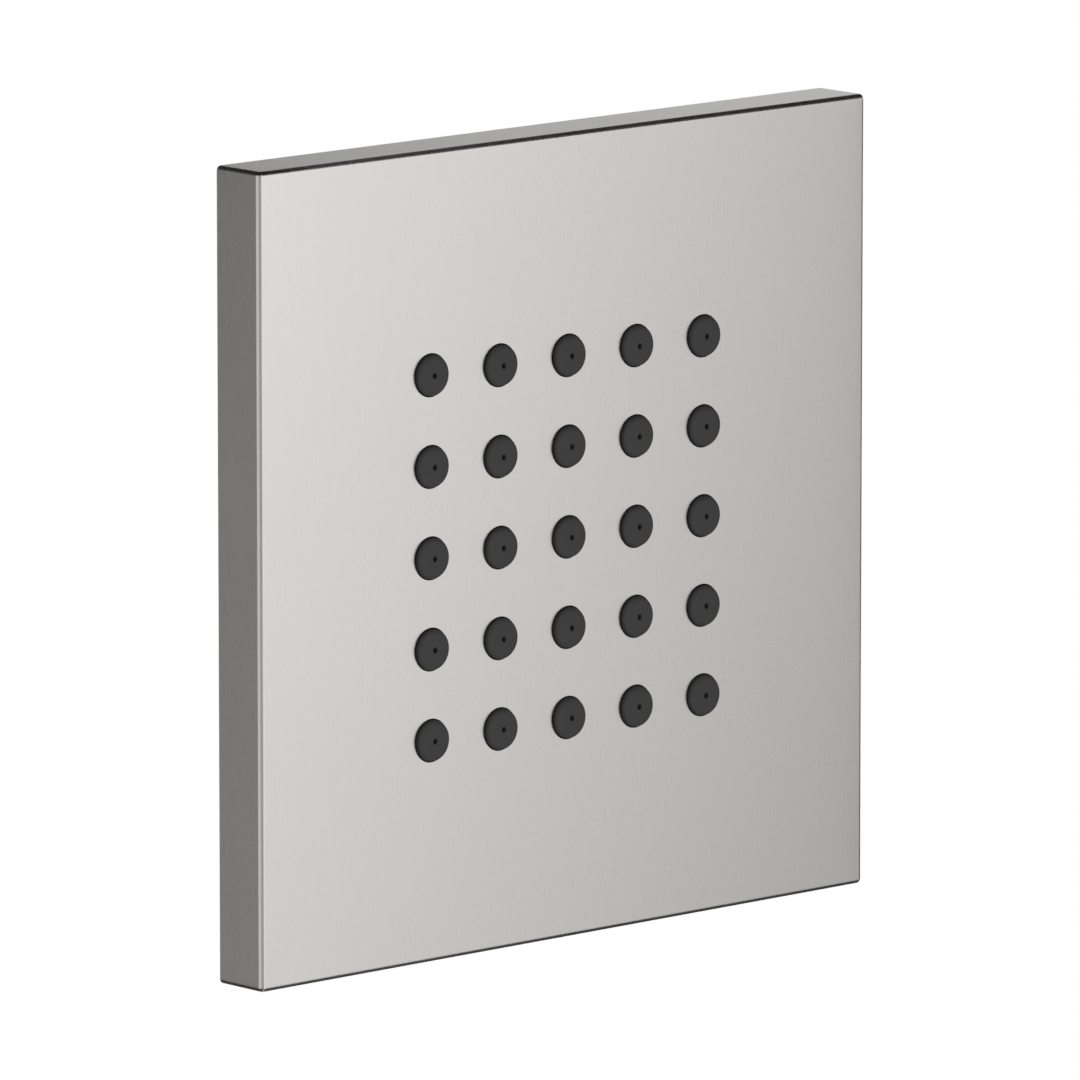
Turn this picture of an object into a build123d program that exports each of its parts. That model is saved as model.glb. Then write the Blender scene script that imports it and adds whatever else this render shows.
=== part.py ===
from build123d import *
import os

# Square shower body jet: a metal tile with a grid of silicone jets, over a flat water chamber.
# Sizes are in millimetres. The origin is on the wall's surface, on the axis of the water inlet.
# +Z is up and the jets spray towards -Y, so what has a positive y is inside the wall.

# Counts and angles that shapes of this kind have
full_turn = 360
tile_sides = 4
hexagon_sides = 6

# Cover: one metal shell with a front wall and four side walls
cover_side = 120.0
cover_depth = 9.25
front_wall = 2.0
side_wall = 2.0
edge_radius = 0.75
hollow_corner = 1.5

# Jets: buttons with a rounded rim in front of the front wall, and a flange behind it
jet_count = 5
jet_pitch = 13.5
jet_hole = 6.4
jet_gap = 0.1
jet_tip = 6.0
jet_rise = 1.0
jet_rim = 0.9
jet_flange = 8.4
jet_flange_depth = 0.6
orifice = 0.8
orifice_depth = 1.2
jet_inlet = 2.4

# Retainer: the plate on the backs of the jets, with posts that stand on the chamber's floor
retainer_depth = 1.4
retainer_window = 4.8
retainer_gap = 0.3
post_side = 3.0

# Water chamber: a tray with a rim, and a socket for the inlet on its back
chamber_floor = 1.5
chamber_wall_gap = 0.45
rim_margin = 1.2
rim_width = 5.0
rim_corner = 5.0
well_corner = 2.5
socket_bore = 20.0
socket_wall = 3.5
socket_reach = 13.0
socket_lead_in = 0.8
inlet_mouth = 14.0

# Chamber seal: a ring in a groove of the rim
seal_width = 2.2
seal_depth = 1.4
seal_bend = 3.0
seal_gap = 0.1

# Chamber screws: one at the middle of each half side, through an ear into a boss of the cover
screw_size = 3.0
screw_gap = 0.1
screw_offset = 20.0
screw_head = 5.5
screw_head_depth = 1.4
screw_head_gap = 0.4
screw_socket = 2.0
screw_socket_depth = 0.8
screw_end_gap = 0.3
screw_front_wall = 1.0
boss_size = 6.4
boss_gap = 0.3
ear_depth = 1.7

# Inlet nipple: a spigot for the socket, a hexagon and a pipe thread of half an inch
spigot_gap = 0.05
spigot_end_gap = 0.3
spigot_chamfer = 0.6
ring_cord = 2.0
ring_width = 2.2
ring_gap = 0.02
ring_first = 4.0
ring_spacing = 5.0
collar_gap = 0.5
collar_flats = 24.0
collar_depth = 6.0
collar_chamfer = 0.8
relief_size = 18.2
relief_depth = 1.5
thread_size = 20.955
thread_depth = 14.0
thread_chamfer = 1.2
nipple_bore = 12.0

# Flow limiter and strainer: both sit in a wider seat at the front of the nipple's bore
seat_size = 14.0
seat_gap = 0.05
seat_end_gap = 0.2
limiter_depth = 5.0
limiter_wall = 1.2
limiter_floor = 1.2
limiter_core = 4.0
limiter_core_rise = 3.2
limiter_ports = 6
limiter_port = 1.6
limiter_ring_section = 1.8
limiter_ring_gap = 0.1
strainer_rim = 1.0
strainer_mouth = 10.4
strainer_end = 7.0
strainer_reach = 7.0
strainer_wall = 0.8
strainer_slots = 6
strainer_slot = 1.2
strainer_bar = 1.0

# Foam frame: closes the gap between the cover's side walls and the wall
foam_width = 3.8
foam_depth = 2.0
foam_inner_corner = 0.75
foam_gap = 0.1

# Wall bracket: one folded sheet with two hooks at the top and two tabs at the bottom
bracket_sheet = 1.5
bracket_foam_gap = 2.1
bracket_corner = 5.0
bracket_socket_gap = 3.5
bend_radius = 0.6
slot_width = 5.2
slot_length = 9.0
slot_margin = 2.0
tab_width = 14.0
tab_spacing = 72.0
tab_relief = 1.0
tab_root = 6.0
tab_front_gap = 0.95
hook_top_gap = 2.0
lug_width = 12.0
lug_gap = 0.25

# Set screws: through the bottom wall of the cover into the lower tabs
set_screw_size = 3.0
set_screw_gap = 0.05
set_screw_recess = 0.6
set_screw_back_wall = 0.5
set_screw_boss = 8.0
set_screw_point = 1.9
set_screw_point_gap = 0.2
set_screw_point_length = 1.8
set_screw_socket = 1.5
set_screw_socket_depth = 1.6

# Levels along Y, from the wall's surface forwards
wall_y = 0.0
bracket_y = wall_y - bracket_sheet
floor_back_y = bracket_y - chamber_wall_gap
floor_front_y = floor_back_y - chamber_floor
face_y = wall_y - cover_depth
inner_y = face_y + front_wall
jet_tip_y = face_y - jet_rise
jet_back_y = inner_y + jet_flange_depth
retainer_back_y = jet_back_y + retainer_depth
screw_head_y = bracket_y - screw_head_gap
ear_back_y = screw_head_y - screw_head_depth
ear_front_y = ear_back_y - ear_depth
screw_end_y = face_y + screw_front_wall
lug_back_y = wall_y - foam_depth - foam_gap
tab_y = inner_y + tab_front_gap
hook_back_y = tab_y + bracket_sheet
set_screw_y = lug_back_y - set_screw_back_wall - set_screw_size / 2

# Levels along Y inside the wall, from the inlet's socket backwards
spigot_y = floor_back_y + spigot_end_gap
limiter_front_y = spigot_y + seat_end_gap
limiter_back_y = limiter_front_y + limiter_depth
seat_y = limiter_back_y + strainer_rim
collar_y = socket_reach + collar_gap
relief_y = collar_y + collar_depth
thread_y = relief_y + relief_depth
nipple_end_y = thread_y + thread_depth

# Half sizes across the wall, from the middle outwards
jet_reach = (jet_count - 1) / 2 * jet_pitch
jet_slope = (jet_hole / 2 - jet_gap - jet_tip / 2) / jet_rise
well_half = jet_reach + jet_flange / 2 + rim_margin
rim_half = well_half + rim_width
seal_half = well_half + rim_width / 2
screw_line = rim_half + boss_gap + boss_size / 2
cover_half = cover_side / 2
hollow_half = cover_half - side_wall
foam_half = hollow_half - foam_gap
bracket_half = foam_half - foam_width - bracket_foam_gap
slot_line = bracket_half - slot_margin - slot_length / 2
hook_top = hollow_half - hook_top_gap
set_screw_end = cover_half - set_screw_recess
tab_inner = bracket_half - bracket_sheet

# Radii about the inlet's axis
socket_radius = socket_bore / 2 + socket_wall
spigot_radius = socket_bore / 2 - spigot_gap
groove_radius = socket_bore / 2 - ring_cord - 2 * ring_gap
insert_radius = seat_size / 2 - seat_gap
cup_radius = insert_radius - limiter_wall


def slab(outline, front, back):
    """Solid of an outline that is drawn in the wall's plane, between two y levels."""
    return extrude(Plane.XZ.offset(-back) * outline, amount=back - front)


def square(half, corner):
    """Square with rounded corners, from its half width."""
    return RectangleRounded(2 * half, 2 * half, corner)


def turned(*points):
    """Solid of revolution about the Y axis, from points of radius and y."""
    return revolve(make_face(Polyline(*points, close=True)), axis=Axis.Y)


def jet_radius(y):
    """Radius of a jet's tapered side at a y level."""
    return jet_tip / 2 + jet_slope * (y - jet_tip_y)


def jet_places():
    """Row, column and place of each jet, with row 1 at the top and column 1 at the left."""
    places = []
    for row in range(jet_count):
        for column in range(jet_count):
            x = column * jet_pitch - jet_reach
            z = jet_reach - row * jet_pitch
            places.append((row + 1, column + 1, x, z))
    return places


def screw_places():
    """Places of the chamber screws, two on each side of the rim."""
    places = []
    for along in (-screw_offset, screw_offset):
        for across in (-screw_line, screw_line):
            places.append((along, across))
            places.append((across, along))
    return places


def sides(distance):
    """The two places at one distance to the left and right of the middle."""
    return (-distance / 2, distance / 2)


def cover_plate():
    shell = slab(Rectangle(cover_side, cover_side), face_y, wall_y)
    front_edges = shell.faces().sort_by(Axis.Y)[0].edges()
    shell = fillet(front_edges + shell.edges().filter_by(Axis.Y), edge_radius)
    shell -= slab(square(hollow_half, hollow_corner), inner_y, wall_y)

    hole = turned(
        (0, jet_tip_y),
        (jet_radius(jet_tip_y) + jet_gap, jet_tip_y),
        (jet_radius(jet_back_y) + jet_gap, jet_back_y),
        (0, jet_back_y),
    )
    shell -= [Pos(x, 0, z) * hole for row, column, x, z in jet_places()]

    for x, z in screw_places():
        shell += slab(Pos(x, z) * Circle(boss_size / 2), inner_y, ear_front_y)
    for x, z in screw_places():
        shell -= slab(Pos(x, z) * Circle(screw_size / 2 + screw_gap), screw_end_y, ear_front_y)

    lug_height = hollow_half - bracket_half - lug_gap
    lug = Pos(0, bracket_half + lug_gap + lug_height / 2) * Rectangle(lug_width, lug_height)
    for x in sides(tab_spacing):
        shell += slab(Pos(x, 0) * lug, hook_back_y + lug_gap, lug_back_y)

    block = Pos(0, -bracket_half - lug_gap - lug_height / 2) * Rectangle(set_screw_boss, lug_height)
    bore_length = 2 * (cover_half - bracket_half)
    bore = Pos(0, set_screw_y, -cover_half) * Cylinder(set_screw_size / 2 + set_screw_gap, bore_length)
    for x in sides(tab_spacing):
        shell += slab(Pos(x, 0) * block, inner_y, lug_back_y)
        shell -= Pos(x, 0, 0) * bore
    return shell


def jet():
    step_y = jet_tip_y + orifice_depth
    plug = turned(
        (orifice / 2, jet_tip_y),
        (jet_tip / 2, jet_tip_y),
        (jet_radius(inner_y), inner_y),
        (jet_flange / 2, inner_y),
        (jet_flange / 2, jet_back_y),
        (jet_inlet / 2, jet_back_y),
        (jet_inlet / 2, step_y),
        (orifice / 2, step_y),
    )
    tip_circles = plug.edges().filter_by(GeomType.CIRCLE).group_by(Axis.Y)[0]
    return fillet(tip_circles.sort_by(SortBy.RADIUS)[-1], jet_rim)


def jet_retainer():
    outline = square(well_half - retainer_gap, well_corner - retainer_gap)
    window = Rectangle(retainer_window, retainer_window)
    outline -= [Pos(x, z) * window for row, column, x, z in jet_places()]
    plate = slab(outline, jet_back_y, retainer_back_y)
    post = Rectangle(post_side, post_side)
    for row, column, x, z in jet_places():
        if row < jet_count and column < jet_count:
            between = Pos(x + jet_pitch / 2, z - jet_pitch / 2)
            plate += slab(between * post, retainer_back_y, floor_front_y)
    return plate


def seal_groove(gap):
    """Outline of the chamber seal, widened by a gap on both sides."""
    half_width = seal_width / 2 + gap
    outside = square(seal_half + half_width, seal_bend + half_width)
    return outside - square(seal_half - half_width, seal_bend - half_width)


def chamber_back():
    tray = slab(square(rim_half, rim_corner), inner_y, floor_back_y)
    tray -= slab(square(well_half, well_corner), inner_y, floor_front_y)
    tray -= slab(seal_groove(seal_gap), inner_y, inner_y + seal_depth)

    # Ears for the screws, each a tongue from the rim that ends round the screw
    reach = screw_line - rim_half
    tongue = Pos(0, -reach / 2) * Rectangle(boss_size, reach) + Circle(boss_size / 2)
    tongue -= Circle(screw_size / 2 + screw_gap)
    for side in range(tile_sides):
        for along in (-screw_offset, screw_offset):
            ear = slab(Pos(along, screw_line) * tongue, ear_front_y, ear_back_y)
            tray += Rot(0, full_turn / tile_sides * side, 0) * ear

    tray += slab(Circle(socket_radius), floor_back_y, socket_reach)
    tray -= slab(Circle(socket_bore / 2), floor_back_y, socket_reach)
    tray -= slab(Circle(inlet_mouth / 2), floor_front_y, floor_back_y)
    lead_in = tray.edges().filter_by(GeomType.CIRCLE).group_by(Axis.Y)[-1].sort_by(SortBy.RADIUS)[0]
    return chamfer(lead_in, socket_lead_in)


def chamber_seal():
    return slab(seal_groove(0), inner_y, inner_y + seal_depth)


def chamber_screws():
    head = slab(Circle(screw_head / 2), ear_back_y, screw_head_y)
    socket = RegularPolygon(screw_socket / 2, hexagon_sides, False)
    head -= slab(socket, screw_head_y - screw_socket_depth, screw_head_y)
    screw = head + slab(Circle(screw_size / 2), screw_end_y + screw_end_gap, ear_back_y)
    return [Pos(x, 0, z) * screw for x, z in screw_places()]


def ring_places():
    """Middles of the two seal rings on the spigot, along Y."""
    first = spigot_y + ring_first
    return (first, first + ring_spacing)


def inlet_nipple():
    nipple = turned(
        (0, spigot_y),
        (spigot_radius - spigot_chamfer, spigot_y),
        (spigot_radius, spigot_y + spigot_chamfer),
        (spigot_radius, collar_y),
        (relief_size / 2, collar_y),
        (relief_size / 2, thread_y),
        (thread_size / 2, thread_y),
        (thread_size / 2, nipple_end_y - thread_chamfer),
        (thread_size / 2 - thread_chamfer, nipple_end_y),
        (0, nipple_end_y),
    )
    collar = slab(RegularPolygon(collar_flats / 2, hexagon_sides, False), collar_y, relief_y)
    corner_radius = collar_flats / 2 + collar_chamfer
    collar &= turned(
        (0, collar_y),
        (corner_radius, collar_y),
        (corner_radius + collar_chamfer, collar_y + collar_chamfer),
        (corner_radius + collar_chamfer, relief_y - collar_chamfer),
        (corner_radius, relief_y),
        (0, relief_y),
    )
    nipple += collar
    for y in ring_places():
        half_width = ring_width / 2 + ring_gap
        nipple -= slab(Circle(spigot_radius) - Circle(groove_radius), y - half_width, y + half_width)
    nipple -= slab(Circle(seat_size / 2), spigot_y, seat_y)
    nipple -= slab(Circle(nipple_bore / 2), seat_y, nipple_end_y)
    return nipple


def nipple_ring(y):
    """Seal ring, squeezed flat between its groove and the socket."""
    section = Circle(groove_radius + ring_gap + ring_cord) - Circle(groove_radius + ring_gap)
    return slab(section, y - ring_width / 2, y + ring_width / 2)


def flow_limiter():
    floor_y = limiter_front_y + limiter_floor
    cup = slab(Circle(insert_radius), limiter_front_y, limiter_back_y)
    cup -= slab(Circle(cup_radius), floor_y, limiter_back_y)
    cup += slab(Circle(limiter_core / 2), floor_y, floor_y + limiter_core_rise)
    port_circle = (limiter_core / 2 + cup_radius) / 2
    ports = PolarLocations(port_circle, limiter_ports) * Circle(limiter_port / 2)
    for port in ports:
        cup -= slab(port, limiter_front_y, floor_y)
    return cup


def limiter_ring():
    inner = limiter_core / 2 + limiter_ring_gap
    floor_y = limiter_front_y + limiter_floor
    section = Circle(inner + limiter_ring_section) - Circle(inner)
    return slab(section, floor_y, floor_y + limiter_ring_section)


def strainer():
    end_y = seat_y + strainer_reach
    rim = slab(Circle(insert_radius), limiter_back_y, seat_y)
    basket = turned(
        (0, seat_y),
        (strainer_mouth / 2, seat_y),
        (strainer_end / 2, end_y),
        (0, end_y),
    )
    hollow = turned(
        (0, limiter_back_y),
        (strainer_mouth / 2 - strainer_wall, limiter_back_y),
        (strainer_mouth / 2 - strainer_wall, seat_y),
        (strainer_end / 2 - strainer_wall, end_y - strainer_wall),
        (0, end_y - strainer_wall),
    )
    basket = rim + basket - hollow
    slot_middle = (seat_y + end_y) / 2
    slot_length = strainer_reach - 2 * strainer_bar
    slot_reach = strainer_mouth / 2
    slot = Pos(slot_reach / 2, slot_middle, 0) * Box(slot_reach, slot_length, strainer_slot)
    for turn in range(strainer_slots):
        basket -= Rot(0, full_turn / strainer_slots * turn, 0) * slot
    return basket


def folded(outside, outside_radii, inside, inside_radii):
    """Folded strip of sheet, from the y and z points and bends of its two faces."""
    first = FilletPolyline(*outside, radius=outside_radii)
    second = FilletPolyline(*inside, radius=inside_radii)
    start = Line(first @ 0, second @ 0)
    end = Line(first @ 1, second @ 1)
    profile = make_face([first, second, start, end])
    return extrude(Plane.YZ * profile, amount=tab_width / 2, both=True)


def hook():
    """Tab that is folded forwards and then up, with the plate below it."""
    root = bracket_half - tab_root
    wide = bend_radius + bracket_sheet
    return folded(
        [(wall_y, root), (wall_y, bracket_half), (hook_back_y, bracket_half), (hook_back_y, hook_top)],
        [wide, bend_radius],
        [(bracket_y, root), (bracket_y, tab_inner), (tab_y, tab_inner), (tab_y, hook_top)],
        [bend_radius, wide],
    )


def lower_tab():
    """Tab that is folded forwards, with a hole for a set screw's point."""
    root = -bracket_half + tab_root
    wide = bend_radius + bracket_sheet
    tab = folded(
        [(wall_y, root), (wall_y, -bracket_half), (tab_y, -bracket_half)],
        [wide],
        [(bracket_y, root), (bracket_y, -tab_inner), (tab_y, -tab_inner)],
        [bend_radius],
    )
    hole_radius = set_screw_point / 2 + set_screw_point_gap
    return tab - Pos(0, set_screw_y, -bracket_half) * Cylinder(hole_radius, 2 * tab_root)


def wall_bracket():
    outline = square(bracket_half, bracket_corner) - Circle(socket_radius + bracket_socket_gap)
    slot = Pos(slot_line, 0) * SlotOverall(slot_length, slot_width)
    outline -= [Rot(0, 0, full_turn / tile_sides * side) * slot for side in range(tile_sides)]
    notch = Rectangle(tab_width + 2 * tab_relief, 2 * tab_root)
    for x in sides(tab_spacing):
        outline -= Pos(x, bracket_half) * notch
        outline -= Pos(x, -bracket_half) * notch
    plate = slab(outline, bracket_y, wall_y)
    for x in sides(tab_spacing):
        plate += Pos(x, 0, 0) * hook()
        plate += Pos(x, 0, 0) * lower_tab()
    return plate


def set_screws():
    length = set_screw_end - tab_inner
    body = Pos(0, 0, -length / 2) * Cylinder(set_screw_size / 2, length)
    point_cut = Circle(set_screw_size) - Circle(set_screw_point / 2)
    body -= Pos(0, 0, -set_screw_point_length) * extrude(point_cut, amount=set_screw_point_length)
    socket = RegularPolygon(set_screw_socket / 2, hexagon_sides, False)
    body -= Pos(0, 0, -length) * extrude(socket, amount=set_screw_socket_depth)
    return [Pos(x, set_screw_y, -tab_inner) * body for x in sides(tab_spacing)]


def foam_seal():
    outline = square(foam_half, hollow_corner - foam_gap)
    outline -= square(foam_half - foam_width, foam_inner_corner)
    return slab(outline, wall_y - foam_depth, wall_y)


first_ring, second_ring = ring_places()
nodes = {
    "cover_plate": cover_plate(),
    "jet_retainer": jet_retainer(),
    "chamber_back": chamber_back(),
    "chamber_seal": chamber_seal(),
    "chamber_screws": chamber_screws(),
    "inlet_nipple": inlet_nipple(),
    "nipple_ring_front": nipple_ring(first_ring),
    "nipple_ring_rear": nipple_ring(second_ring),
    "flow_limiter": flow_limiter(),
    "limiter_ring": limiter_ring(),
    "strainer": strainer(),
    "wall_bracket": wall_bracket(),
    "set_screws": set_screws(),
    "foam_seal": foam_seal(),
}
for row, column, x, z in jet_places():
    nodes[f"jet_row{row}_col{column}"] = Pos(x, 0, z) * jet()

os.makedirs("parts", exist_ok=True)
for name, solid in nodes.items():
    if isinstance(solid, list):
        solid = Compound(children=solid)
    export_step(solid, f"parts/{name}.step")
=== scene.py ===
import math

import bmesh
import bpy
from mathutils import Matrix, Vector


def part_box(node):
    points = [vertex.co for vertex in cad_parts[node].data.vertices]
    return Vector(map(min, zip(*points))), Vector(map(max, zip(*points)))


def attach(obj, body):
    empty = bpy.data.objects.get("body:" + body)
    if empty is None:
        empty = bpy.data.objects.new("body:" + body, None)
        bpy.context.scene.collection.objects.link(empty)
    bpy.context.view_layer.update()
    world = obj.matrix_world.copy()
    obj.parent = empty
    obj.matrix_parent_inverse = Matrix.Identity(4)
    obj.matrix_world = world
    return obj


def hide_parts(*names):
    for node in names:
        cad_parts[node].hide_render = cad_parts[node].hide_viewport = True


# Looks of a square shower body jet: a brushed metal tile with a grid of dark silicone jets.
# Lengths are in metres, in the frame of the solids: +Z is up, the wall is at y = 0, the jets point to -Y.

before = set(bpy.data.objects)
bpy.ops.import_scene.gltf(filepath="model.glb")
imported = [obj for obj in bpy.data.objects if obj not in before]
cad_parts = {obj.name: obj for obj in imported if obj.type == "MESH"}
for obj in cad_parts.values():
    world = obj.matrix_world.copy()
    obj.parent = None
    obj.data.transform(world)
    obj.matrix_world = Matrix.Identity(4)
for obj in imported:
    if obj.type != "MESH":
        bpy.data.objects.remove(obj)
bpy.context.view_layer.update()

MM = 0.001
FULL_TURN = 2 * math.pi

# Places that are read from the solids
face_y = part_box("cover_plate")[0].y
nipple_low, nipple_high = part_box("inlet_nipple")

# Meshes: how close points are joined, angles in degrees for flat and for sharp, and steps of a rounding
weld_distance = 0.001 * MM
flat_angle = 0.5
solid_crease = 28
jet_crease = 40
nipple_crease = 38
bevel_steps = 2
rounding_steps = 8

# Jets: the button's sizes, as in the solid, a small rounding of its orifice, and how high the painted shade
# reaches that darkens the flank towards the plate
jet_count = 5
jet_tip_radius = 3.0 * MM
jet_neck_radius = 3.1 * MM
jet_rim_rounding = 0.9 * MM
jet_orifice_radius = 0.4 * MM
jet_orifice_depth = 1.2 * MM
jet_mouth_rounding = 0.18 * MM
jet_painted_shade_height = 0.85 * MM
jet_inlet_radius = 1.2 * MM
front_wall = 2.0 * MM
jet_segments = 64

# Inlet nipple: levels along its axis and radii, as in the solid, and a pipe thread of half an inch
nipple_bore = 6.0 * MM
nipple_seat = 7.0 * MM
nipple_seat_y = 4.55 * MM
nipple_spigot = 9.95 * MM
nipple_spigot_chamfer = 0.6 * MM
nipple_groove = 7.96 * MM
nipple_groove_half = 1.12 * MM
nipple_groove_ys = (2.35 * MM, 7.35 * MM)
nipple_collar_y = 13.5 * MM
nipple_collar_half_flats = 12.0 * MM
nipple_collar_end_radius = 12.8 * MM
nipple_collar_chamfer = 0.8 * MM
nipple_chamfer_steps = 10
nipple_relief_y = 19.5 * MM
nipple_relief = 9.1 * MM
nipple_thread_y = 21.0 * MM
nipple_thread = 10.4775 * MM
nipple_thread_chamfer = 1.2 * MM
nipple_edge = 0.12 * MM
thread_pitch = 1.814 * MM
thread_depth = 1.162 * MM
thread_sharpness = 0.93
thread_rows_per_pitch = 22
nipple_segments = 192
hexagon_sides = 6


# Mesh tools


def new_piece(name, mesh, material, nodes):
    """Object of a mesh that rides on the one body, takes a slot's finish and stands for the given nodes."""
    piece = bpy.data.objects.new(name, mesh)
    bpy.context.scene.collection.objects.link(piece)
    piece.data.materials.clear()
    piece.data.materials.append(material)
    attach(piece, "root")
    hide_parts(*nodes)
    return piece


def smooth_by_angle(mesh, degrees):
    """Smooth shading, with edges kept sharp where the faces meet at more than an angle."""
    mesh.shade_smooth()
    mesh.set_sharp_from_angle(angle=math.radians(degrees))


def eased_solid(node, material, edge):
    """Copy of a node's solid with its sharp edges broken by a small rounding."""
    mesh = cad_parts[node].data.copy()
    form = bmesh.new()
    form.from_mesh(mesh)
    bmesh.ops.remove_doubles(form, verts=form.verts, dist=weld_distance)
    bmesh.ops.dissolve_limit(form, angle_limit=math.radians(flat_angle), verts=form.verts, edges=form.edges)
    form.to_mesh(mesh)
    form.free()
    smooth_by_angle(mesh, solid_crease)
    piece = new_piece(f"{node}_dressed", mesh, material, [node])
    bevel = piece.modifiers.new("edges", "BEVEL")
    bevel.width = edge
    bevel.segments = bevel_steps
    bevel.limit_method = "ANGLE"
    bevel.angle_limit = math.radians(solid_crease)
    bevel.use_clamp_overlap = True
    bevel.miter_outer = "MITER_ARC"
    bevel.harden_normals = True
    weighted = piece.modifiers.new("normals", "WEIGHTED_NORMAL")
    weighted.keep_sharp = True


def ring_mesh(name, rows, segments, centre):
    """Closed mesh of rings about the Y axis. A row is a level and a radius, or its function of the angle."""
    form = bmesh.new()
    rings = []
    for y, radius in rows:
        ring = []
        for step in range(segments):
            angle = FULL_TURN * step / segments
            reach = radius(angle) if callable(radius) else radius
            spot = Vector((reach * math.cos(angle), 0, reach * math.sin(angle)))
            ring.append(form.verts.new(centre + spot + Vector((0, y, 0))))
        rings.append(ring)
    for first, second in zip(rings, rings[1:] + rings[:1]):
        for step in range(segments):
            after = (step + 1) % segments
            form.faces.new((first[step], first[after], second[after], second[step]))
    bmesh.ops.recalc_face_normals(form, faces=form.faces)
    mesh = bpy.data.meshes.new(name)
    form.to_mesh(mesh)
    form.free()
    return mesh


def rounding(y, radius, size, start, end):
    """Rows of a rounded edge: an arc of a size about a point, from one angle to another, in degrees."""
    rows = []
    for step in range(rounding_steps + 1):
        angle = math.radians(start + (end - start) * step / rounding_steps)
        rows.append((y - size * math.sin(angle), radius + size * math.cos(angle)))
    return rows


# Shader tools


def new_material(name):
    """Material with its node tree and its shader."""
    material = bpy.data.materials.new(name)
    material.use_nodes = True
    tree = material.node_tree
    return material, tree, tree.nodes["Principled BSDF"]


def add(tree, kind, settings=None, **sockets):
    """Adds a node. Settings are its own options, sockets are numbers to set or outputs to link."""
    node = tree.nodes.new(kind)
    for key, value in (settings or {}).items():
        setattr(node, key, value)
    for key, value in sockets.items():
        feed(tree, node.inputs[key.replace("_", " ")], value)
    return node


def feed(tree, socket, value):
    """Sets a socket to a number, or links an output to it."""
    if isinstance(value, bpy.types.NodeSocket):
        tree.links.new(value, socket)
    else:
        socket.default_value = value


def calculate(tree, operation, first, second=None, third=None):
    """Output of a sum on one, two or three values."""
    node = add(tree, "ShaderNodeMath", {"operation": operation})
    for socket, value in zip(node.inputs, (first, second, third)):
        if value is not None:
            feed(tree, socket, value)
    return node.outputs[0]


def calculate_vector(tree, operation, first, second):
    """Output of a sum on two vectors."""
    node = add(tree, "ShaderNodeVectorMath", {"operation": operation})
    feed(tree, node.inputs[0], first)
    feed(tree, node.inputs[1], second)
    return node.outputs[0]


def noise(tree, vector, scale, detail):
    """Output of a noise from 0 to 1. The scale counts features in a metre, along each axis."""
    spread = calculate_vector(tree, "MULTIPLY", vector, scale)
    node = add(tree, "ShaderNodeTexNoise", Vector=spread, Scale=1.0, Detail=detail, Roughness=0.55)
    return node.outputs[0]


def even_noise(tree, vector, scale, detail):
    """Output of a noise from 0 to 1 with the same scale along each axis."""
    return noise(tree, vector, (scale, scale, scale), detail)


def between(tree, value, low, high):
    """Output of a value from 0 to 1, spread from low to high."""
    return add(tree, "ShaderNodeMapRange", Value=value, To_Min=low, To_Max=high).outputs[0]


def blend_colours(tree, factor, first, second):
    """Output of a colour between two, by a factor."""
    node = add(tree, "ShaderNodeMix", {"data_type": "RGBA"}, Factor=factor, A=first, B=second)
    return node.outputs["Result"]


def grey(level, warmth=0.0):
    """Colour of a grey level, a little warmer or cooler."""
    return (level * (1 + warmth), level, level * (1 - 2 * warmth), 1)


def bump(tree, shader, height, depth, strength=1.0):
    """Links a height to the shader's normal, as relief of a depth in metres."""
    node = add(tree, "ShaderNodeBump", Height=height, Distance=depth, Strength=strength)
    tree.links.new(node.outputs[0], shader.inputs["Normal"])


def position(tree):
    """Output of the place on the surface."""
    return add(tree, "ShaderNodeNewGeometry").outputs["Position"]


# Materials

# Brushed metal: how far up or down a level face points, and a nudge that keeps its tangent from vanishing
level_from = 0.7
tangent_nudge = (0, 0.02, 0)


def brush_scale(tree, level, along, across):
    """Output of a noise scale for brush lines that run along Z, or along X on level faces."""
    node = add(tree, "ShaderNodeMix", {"data_type": "VECTOR"}, Factor=level)
    node.inputs[4].default_value = (across, across, along)
    node.inputs[5].default_value = (along, across, across)
    return node.outputs[1]


def brushed_metal():
    """Satin metal with fine upright brush lines, which run along X on the top and bottom faces."""
    material, tree, shader = new_material("brushed_metal")
    place = add(tree, "ShaderNodeTexCoord")
    normal = place.outputs["Normal"]
    spot = place.outputs["Object"]
    upwards = add(tree, "ShaderNodeSeparateXYZ", Vector=normal).outputs["Z"]
    level = calculate(tree, "GREATER_THAN", calculate(tree, "ABSOLUTE", upwards), level_from)
    streaks = noise(tree, spot, brush_scale(tree, level, along=55, across=2600), detail=2.0)
    fine = noise(tree, spot, brush_scale(tree, level, along=140, across=9000), detail=2.0)
    clouds = even_noise(tree, spot, scale=45, detail=2.0)
    tone = blend_colours(tree, streaks, grey(0.645, 0.014), grey(0.67, 0.014))
    tree.links.new(tone, shader.inputs["Base Color"])
    wear = calculate(tree, "MULTIPLY_ADD", clouds, 0.06, between(tree, fine, 0.21, 0.29))
    tree.links.new(wear, shader.inputs["Roughness"])
    shader.inputs["Metallic"].default_value = 1
    shader.inputs["Anisotropic"].default_value = 0.4
    around = calculate_vector(tree, "CROSS_PRODUCT", (0, 0, 1), normal)
    tangent = calculate_vector(tree, "ADD", around, tangent_nudge)
    tree.links.new(tangent, shader.inputs["Tangent"])
    bump(tree, shader, calculate(tree, "MULTIPLY_ADD", fine, 0.5, streaks), depth=0.002 * MM)
    return material


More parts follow.
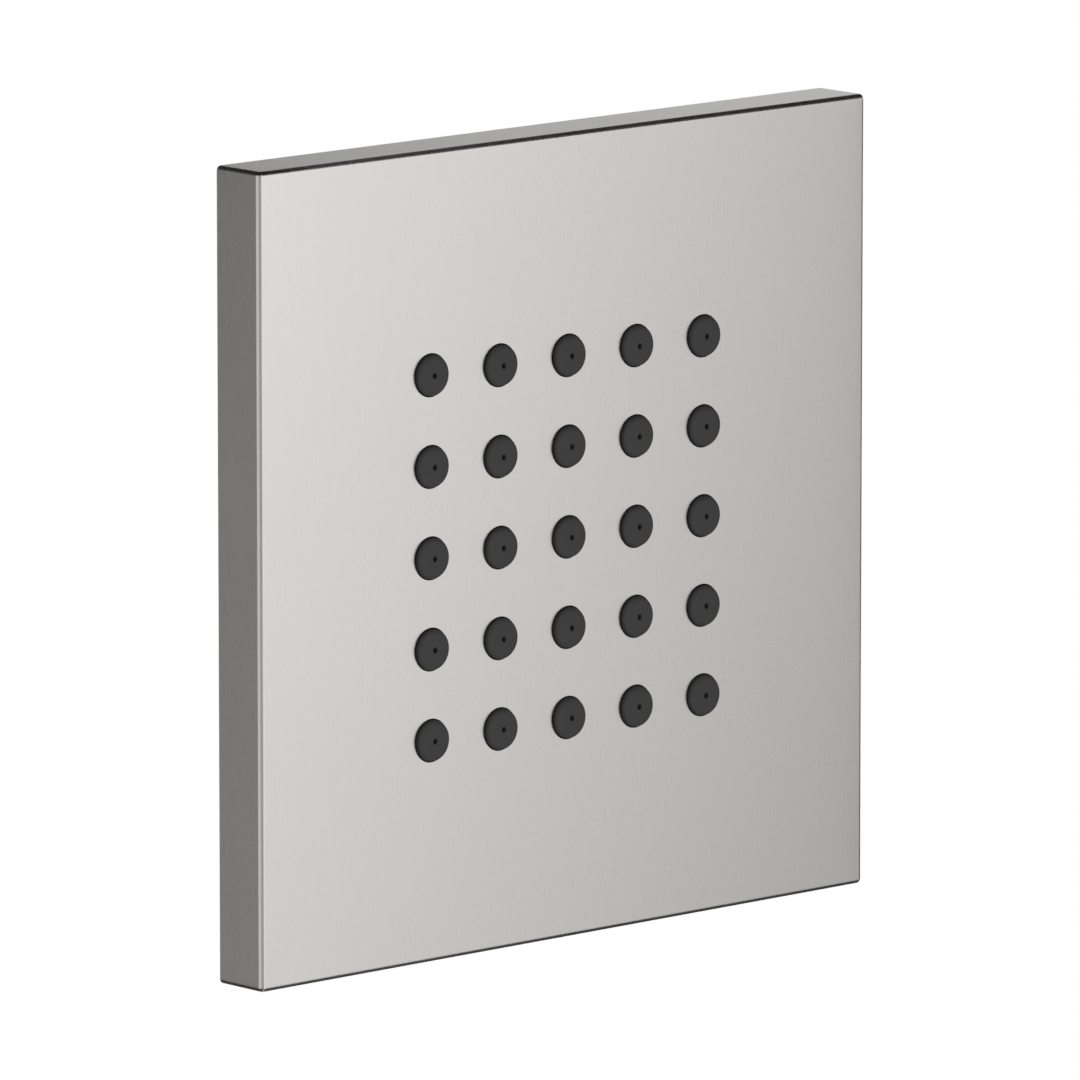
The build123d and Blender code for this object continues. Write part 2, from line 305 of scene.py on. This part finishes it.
def jet_silicone():
    """Dark grey silicone, dull and faintly mottled on the tip, with painted shade that darkens the flank
    towards the plate.
    """
    material, tree, shader = new_material("jet_silicone")
    spot = position(tree)
    mottle = even_noise(tree, spot, scale=900, detail=3.0)
    skin = even_noise(tree, spot, scale=7000, detail=2.0)
    tip = blend_colours(tree, mottle, grey(0.0375), grey(0.0415))
    # Painted shade: the flank is darkened towards the plate by its depth, standing in for the shadow where
    # the jet meets the plate
    depth = add(tree, "ShaderNodeSeparateXYZ", Vector=spot).outputs["Y"]
    painted_shade = add(tree, "ShaderNodeMapRange", {"interpolation_type": "SMOOTHSTEP"}, Value=depth)
    painted_shade.inputs["From Min"].default_value = face_y - jet_painted_shade_height
    painted_shade.inputs["From Max"].default_value = face_y
    tree.links.new(blend_colours(tree, painted_shade.outputs[0], tip, grey(0.012)), shader.inputs["Base Color"])
    tree.links.new(between(tree, skin, 0.5, 0.65), shader.inputs["Roughness"])
    shader.inputs["Specular IOR Level"].default_value = 0.15
    bump(tree, shader, skin, depth=0.01 * MM, strength=0.5)
    return material


def moulded_plastic(name, low, high, rough, grain):
    """Moulded plastic with a fine grain and slow changes of tone."""
    material, tree, shader = new_material(name)
    spot = position(tree)
    clouds = even_noise(tree, spot, scale=120, detail=4.0)
    skin = even_noise(tree, spot, scale=grain, detail=3.0)
    tree.links.new(blend_colours(tree, clouds, low, high), shader.inputs["Base Color"])
    tree.links.new(between(tree, skin, rough - 0.08, rough + 0.1), shader.inputs["Roughness"])
    bump(tree, shader, skin, depth=0.012 * MM, strength=0.6)
    return material


def seal_rubber():
    """Black rubber with a dull, slightly dusty skin."""
    material, tree, shader = new_material("seal_rubber")
    dust = even_noise(tree, position(tree), scale=1500, detail=4.0)
    tree.links.new(blend_colours(tree, dust, grey(0.012), grey(0.03)), shader.inputs["Base Color"])
    tree.links.new(between(tree, dust, 0.55, 0.75), shader.inputs["Roughness"])
    bump(tree, shader, dust, depth=0.02 * MM, strength=0.5)
    return material


def foam():
    """Closed cell foam: small pits, dark between the cells."""
    material, tree, shader = new_material("foam")
    spot = position(tree)
    cells = add(tree, "ShaderNodeTexVoronoi", {"feature": "F1"}, Vector=spot, Scale=1900.0)
    clouds = even_noise(tree, spot, scale=300, detail=3.0)
    pits = between(tree, cells.outputs["Distance"], 0.0, 1.0)
    tone = blend_colours(tree, clouds, grey(0.05), grey(0.085))
    tree.links.new(blend_colours(tree, pits, tone, grey(0.025)), shader.inputs["Base Color"])
    shader.inputs["Roughness"].default_value = 0.9
    bump(tree, shader, calculate(tree, "SUBTRACT", 1.0, pits), depth=0.15 * MM, strength=0.7)
    return material


def worn_metal(name, line_scale, line_detail, line_depth, cloud_scale, colours, wear_range, stain):
    """Metal with fine tool lines, and cloudy stains that change its tone and dull it."""
    material, tree, shader = new_material(name)
    spot = position(tree)
    lines = noise(tree, spot, line_scale, line_detail)
    clouds = even_noise(tree, spot, scale=cloud_scale, detail=4.0)
    tree.links.new(blend_colours(tree, clouds, *colours), shader.inputs["Base Color"])
    wear = calculate(tree, "MULTIPLY_ADD", clouds, stain, between(tree, lines, *wear_range))
    tree.links.new(wear, shader.inputs["Roughness"])
    shader.inputs["Metallic"].default_value = 1
    bump(tree, shader, lines, line_depth)
    return material


def sheet_steel():
    """Rolled stainless sheet: fine rolling lines along X and soft cloudy stains."""
    colours = (grey(0.5, 0.01), grey(0.58, 0.01))
    return worn_metal("sheet_steel", line_scale=(60, 5000, 5000), line_detail=3.0, line_depth=0.004 * MM,
                      cloud_scale=70, colours=colours, wear_range=(0.24, 0.36), stain=0.14)


def turned_metal(name, low, high, rough):
    """Turned metal: fine tool lines round the inlet's axis, and cloudy tarnish."""
    wear_range = (rough - 0.06, rough + 0.06)
    return worn_metal(name, line_scale=(150, 9000, 150), line_detail=2.0, line_depth=0.005 * MM,
                      cloud_scale=260, colours=(low, high), wear_range=wear_range, stain=0.12)


# Pieces


def jet_rows(tip_y, back_y, flange_radius):
    """Rows of a jet's section: mouth, rounded rim, neck, flange, and back through the bore."""
    step_y = tip_y + jet_orifice_depth
    flange_y = face_y + front_wall
    mouth = jet_orifice_radius + jet_mouth_rounding
    lean = math.atan2(jet_neck_radius - jet_tip_radius, face_y - tip_y)
    flat = jet_tip_radius - jet_rim_rounding * math.tan((math.radians(90) - lean) / 2)
    neck = jet_tip_radius + math.tan(lean) * (flange_y - tip_y)
    rows = [(step_y, jet_orifice_radius)]
    rows += rounding(tip_y + jet_mouth_rounding, mouth, jet_mouth_rounding, 180, 90)
    rows += rounding(tip_y + jet_rim_rounding, flat, jet_rim_rounding, 90, math.degrees(lean))
    rows += [(flange_y, neck), (flange_y, flange_radius), (back_y, flange_radius)]
    rows += [(back_y, jet_inlet_radius), (step_y, jet_inlet_radius)]
    return rows


def make_jets(material):
    """One lathed piece for each jet of the grid."""
    for row in range(1, jet_count + 1):
        for column in range(1, jet_count + 1):
            node = f"jet_row{row}_col{column}"
            low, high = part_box(node)
            centre = Vector(((low.x + high.x) / 2, 0, (low.z + high.z) / 2))
            rows = jet_rows(low.y, high.y, (high.x - low.x) / 2)
            mesh = ring_mesh(f"{node}_dressed", rows, jet_segments, centre)
            smooth_by_angle(mesh, jet_crease)
            new_piece(f"{node}_dressed", mesh, material, [node])


def thread_radius(y):
    """Radius of the pipe thread at a level, as a function of the angle, cut by the chamfer at its end."""
    limit = nipple_thread - max(0, y - (nipple_high.y - nipple_thread_chamfer))

    def radius(angle):
        turns = (y - nipple_thread_y) / thread_pitch - angle / FULL_TURN
        wave = math.asin(thread_sharpness * math.sin(FULL_TURN * turns)) / math.asin(thread_sharpness)
        return min(limit, nipple_thread - thread_depth * (0.5 - 0.5 * wave))

    return radius


def collar_radius(y):
    """Radius of the hexagon at a level, as a function of the angle, cut by the chamfers at its ends."""
    depth = min(y - nipple_collar_y, nipple_relief_y - y)
    limit = nipple_collar_end_radius + depth

    def radius(angle):
        sector = FULL_TURN / hexagon_sides
        offset = (angle + sector / 2) % sector - sector / 2
        return min(limit, nipple_collar_half_flats / math.cos(offset))

    return radius


def nipple_rows():
    """Rows of the nipple's section: spigot and grooves, hexagon, relief, thread, and back by the bore."""
    front_y, end_y = nipple_low.y, nipple_high.y
    rows = [(front_y, nipple_seat), (front_y, nipple_spigot - nipple_spigot_chamfer)]
    rows.append((front_y + nipple_spigot_chamfer, nipple_spigot))
    for middle in nipple_groove_ys:
        start, stop = middle - nipple_groove_half, middle + nipple_groove_half
        rows += [(start, nipple_spigot), (start, nipple_groove), (stop, nipple_groove), (stop, nipple_spigot)]
    rows.append((nipple_collar_y, nipple_spigot))
    for chamfer_y in (nipple_collar_y, nipple_relief_y - nipple_collar_chamfer):
        for step in range(nipple_chamfer_steps + 1):
            level = chamfer_y + nipple_collar_chamfer * step / nipple_chamfer_steps
            rows.append((level, collar_radius(level)))
    rows += [(nipple_relief_y, nipple_relief), (nipple_thread_y, nipple_relief)]
    thread_length = end_y - nipple_thread_y
    thread_rows = round(thread_length / thread_pitch * thread_rows_per_pitch)
    for step in range(thread_rows + 1):
        level = nipple_thread_y + thread_length * step / thread_rows
        rows.append((level, thread_radius(level)))
    rows += [(end_y, nipple_bore + nipple_edge), (end_y - nipple_edge, nipple_bore)]
    rows += [(nipple_seat_y, nipple_bore), (nipple_seat_y, nipple_seat)]
    return rows


def make_nipple(material):
    """The brass nipple with its real thread."""
    mesh = ring_mesh("inlet_nipple_dressed", nipple_rows(), nipple_segments, Vector((0, 0, 0)))
    smooth_by_angle(mesh, nipple_crease)
    new_piece("inlet_nipple_dressed", mesh, material, ["inlet_nipple"])


white_plastic = moulded_plastic("white_plastic", grey(0.7, 0.01), grey(0.76, 0.01), rough=0.45, grain=3000)
black_plastic = moulded_plastic("black_plastic", grey(0.014), grey(0.026), rough=0.48, grain=2600)
rubber = seal_rubber()
screw_steel = turned_metal("screw_steel", grey(0.5), grey(0.6), rough=0.28)
brass = turned_metal("nipple_brass", (0.72, 0.5, 0.2, 1), (0.8, 0.58, 0.27, 1), rough=0.24)

eased_solid("cover_plate", brushed_metal(), edge=0.12 * MM)
make_jets(jet_silicone())
eased_solid("jet_retainer", white_plastic, edge=0.15 * MM)
eased_solid("chamber_back", black_plastic, edge=0.2 * MM)
eased_solid("chamber_seal", rubber, edge=0.2 * MM)
eased_solid("chamber_screws", screw_steel, edge=0.1 * MM)
make_nipple(brass)
eased_solid("nipple_ring_front", rubber, edge=0.3 * MM)
eased_solid("nipple_ring_rear", rubber, edge=0.3 * MM)
eased_solid("flow_limiter", white_plastic, edge=0.12 * MM)
eased_solid("limiter_ring", rubber, edge=0.3 * MM)
eased_solid("strainer", white_plastic, edge=0.08 * MM)
eased_solid("wall_bracket", sheet_steel(), edge=0.12 * MM)
eased_solid("set_screws", screw_steel, edge=0.08 * MM)
eased_solid("foam_seal", foam(), edge=0.25 * MM)


# Camera: from the front left and a little above, with a long lens

camera_turn = math.radians(42.4)
camera_rise = math.radians(9.93)
camera_distance = 1.9733
camera_lens = 447.81
camera_reach = 50
aim_left = 4.129 * MM
aim_down = 0.464 * MM


def make_camera():
    """The camera, aimed a little beside the middle of the tile's face."""
    middle = Vector((0, face_y, 0))
    right = Vector((math.cos(camera_turn), -math.sin(camera_turn), 0))
    level = Vector((-math.sin(camera_turn), -math.cos(camera_turn), 0))
    outwards = level * math.cos(camera_rise) + Vector((0, 0, math.sin(camera_rise)))
    up = outwards.cross(right)
    aim = middle - right * aim_left - up * aim_down
    data = bpy.data.cameras.new("camera")
    data.lens = camera_lens
    data.clip_end = camera_reach
    camera = bpy.data.objects.new("camera", data)
    camera.location = middle + outwards * camera_distance
    camera.rotation_euler = (aim - camera.location).to_track_quat("-Z", "Y").to_euler()
    bpy.context.scene.collection.objects.link(camera)
    bpy.context.scene.camera = camera


# Stage: a pale floor, a white surround, soft lamps, and cards and flags that only show as reflections

floor_drop = 2.2
floor_reach = 30.0
floor_tone = 0.8
floor_glow = 0.6
world_light = 0.18


def direction(azimuth, elevation):
    """Unit vector to a place round the object: azimuth 0 is to the right, 90 behind, 270 in front."""
    turn = math.radians(azimuth)
    rise = math.radians(elevation)
    return Vector((math.cos(turn) * math.cos(rise), math.sin(turn) * math.cos(rise), math.sin(rise)))


def seen_directly(tree):
    """Output that is 1 for what the camera sees, straight or by reflection or through glass."""
    path = add(tree, "ShaderNodeLightPath")
    either = calculate(tree, "MAXIMUM", path.outputs["Is Camera Ray"], path.outputs["Is Glossy Ray"])
    return calculate(tree, "MAXIMUM", either, path.outputs["Is Transmission Ray"])


def bare_material(name):
    """Material without a shader, with its node tree and the socket for its surface."""
    material = bpy.data.materials.new(name)
    material.use_nodes = True
    tree = material.node_tree
    tree.nodes.remove(tree.nodes["Principled BSDF"])
    return material, tree, tree.nodes["Material Output"].inputs["Surface"]


def make_floor():
    """Pale floor that catches shadows and looks white."""
    material, tree, surface = bare_material("floor")
    pale = add(tree, "ShaderNodeBsdfDiffuse", Color=grey(floor_tone))
    strength = calculate(tree, "MULTIPLY", seen_directly(tree), floor_glow)
    glow = add(tree, "ShaderNodeEmission", Strength=strength)
    both = add(tree, "ShaderNodeAddShader")
    tree.links.new(pale.outputs[0], both.inputs[0])
    tree.links.new(glow.outputs[0], both.inputs[1])
    tree.links.new(both.outputs[0], surface)
    corners = [(-1, -1), (1, -1), (1, 1), (-1, 1)]
    points = [(x * floor_reach, y * floor_reach, -floor_drop) for x, y in corners]
    flat_panel("floor", material, points)


def make_world():
    """White surround, which lights the object less than it shows."""
    world = bpy.data.worlds.new("surround")
    bpy.context.scene.world = world
    world.use_nodes = True
    tree = world.node_tree
    background = tree.nodes["Background"]
    background.inputs["Color"].default_value = grey(1.0)
    level = between(tree, seen_directly(tree), world_light, 1.0)
    tree.links.new(level, background.inputs["Strength"])


def make_sun(name, azimuth, elevation, strength, spread):
    """Soft sun from a direction, in degrees, that lights what is dull and leaves no glare on metal."""
    data = bpy.data.lights.new(name, "SUN")
    data.energy = strength
    data.angle = math.radians(spread)
    sun = bpy.data.objects.new(name, data)
    sun.rotation_euler = direction(azimuth, elevation).to_track_quat("Z", "Y").to_euler()
    sun.visible_glossy = False
    bpy.context.scene.collection.objects.link(sun)


def make_soft_box(name, azimuth, elevation, distance, size, strength):
    """Square lamp that faces the object and lights what is dull, as strong as a sun of that strength."""
    data = bpy.data.lights.new(name, "AREA")
    data.energy = strength * math.pi * distance ** 2
    data.size = size
    box = bpy.data.objects.new(name, data)
    box.location = direction(azimuth, elevation) * distance
    box.rotation_euler = direction(azimuth, elevation).to_track_quat("Z", "Y").to_euler()
    box.visible_camera = False
    box.visible_glossy = False
    bpy.context.scene.collection.objects.link(box)


def flat_panel(name, material, points):
    """Object of one flat face."""
    mesh = bpy.data.meshes.new(name)
    mesh.from_pydata(points, [], [range(len(points))])
    mesh.materials.append(material)
    panel = bpy.data.objects.new(name, mesh)
    bpy.context.scene.collection.objects.link(panel)
    return panel


def reflected_only(name, material, points):
    """Flat panel that shows only as a reflection."""
    panel = flat_panel(name, material, points)
    panel.visible_camera = False
    panel.visible_diffuse = False
    panel.visible_shadow = False
    return panel


def even_glow(name, level):
    """Material that glows at one level all over."""
    material, tree, surface = bare_material(name)
    tree.links.new(add(tree, "ShaderNodeEmission", Strength=level).outputs[0], surface)
    return material


def graded_glow(name, lower_left, lower_right, upper_left, upper_right):
    """Material that glows with a level for each corner of a card, as seen from the object."""
    material, tree, surface = bare_material(name)
    place = add(tree, "ShaderNodeTexCoord").outputs["Generated"]
    split = add(tree, "ShaderNodeSeparateXYZ", Vector=place)
    lower = between(tree, split.outputs["X"], lower_left, lower_right)
    upper = between(tree, split.outputs["X"], upper_left, upper_right)
    level = between(tree, split.outputs["Y"], lower, upper)
    tree.links.new(add(tree, "ShaderNodeEmission", Strength=level).outputs[0], surface)
    return material


def make_card(material, azimuth, elevation, distance, width, height):
    """Card that faces the object, in a glowing material."""
    across, up = width / 2, height / 2
    points = [(-across, -up, 0), (across, -up, 0), (across, up, 0), (-across, up, 0)]
    card = reflected_only(material.name, material, points)
    card.location = direction(azimuth, elevation) * distance
    card.rotation_euler = direction(azimuth, elevation).to_track_quat("-Z", "Y").to_euler()


def make_flag(material, axis, place, outline):
    """Flag close to an edge of the tile, across an axis, from its place and its outline in millimetres."""
    points = []
    for spot in outline:
        point = list(spot)
        point.insert("XYZ".index(axis), place)
        points.append(Vector(point) * MM)
    reflected_only(material.name, material, points)


def rectangle(left, right, bottom, top):
    """Outline of a rectangle."""
    return [(left, bottom), (right, bottom), (right, top), (left, top)]


# Flags: outlines in millimetres, placed so that from the camera the tile's edges mirror them, not its faces
upper_outline = [(-82, -26), (-50, -26), (-50, -10), (-54, -10), (-54, 2), (-46, 2), (-46, 24), (-82, 24)]
lower_outline = [(-78, -29), (-58, -29), (-58, 0), (-42, 0), (-42, 28), (-78, 28)]
right_outline = rectangle(-22, -8, -66, 58)
left_outline = rectangle(-67.3, -59.7, -62, 63)
side_outline = rectangle(-13.4, -6.8, -62, 63)

make_camera()
make_floor()
make_world()
make_soft_box("key", azimuth=250, elevation=-3, distance=1.0, size=0.5, strength=2.3)
make_sun("upper", azimuth=200, elevation=60, strength=0.3, spread=60)
make_sun("back", azimuth=80, elevation=35, strength=1.4, spread=60)

front_glow = graded_glow("front_card", lower_left=0.03, lower_right=1.21, upper_left=0.26, upper_right=1.73)
back_glow = graded_glow("back_card", lower_left=0.0, lower_right=1.14, upper_left=0.0, upper_right=1.14)
left_glow = graded_glow("left_card", lower_left=0.265, lower_right=0.265, upper_left=0.128, upper_right=0.128)
make_card(front_glow, azimuth=312.5, elevation=-10, distance=0.3, width=0.31, height=0.3)
make_card(back_glow, azimuth=47.5, elevation=20, distance=0.35, width=0.4, height=0.3)
make_card(left_glow, azimuth=130, elevation=-2, distance=0.3, width=0.3, height=0.36)
upper_shade = even_glow("upper_card", level=0.01)
lower_shade = even_glow("lower_card", level=0.045)
make_card(upper_shade, azimuth=351, elevation=49, distance=0.294, width=0.55, height=0.34)
make_card(lower_shade, azimuth=6, elevation=-50.5, distance=0.294, width=0.56, height=0.36)
make_flag(even_glow("upper_flag", level=0.02), axis="Z", place=70, outline=upper_outline)
make_flag(even_glow("lower_flag", level=0.05), axis="Z", place=-70, outline=lower_outline)
make_flag(even_glow("right_flag", level=0.05), axis="X", place=75, outline=right_outline)
make_flag(even_glow("left_flag", level=0.4), axis="Y", place=-14.25, outline=left_outline)
make_flag(even_glow("side_flag", level=0.74), axis="X", place=-66.2, outline=side_outline)

bpy.context.scene.view_settings.view_transform = "Standard"
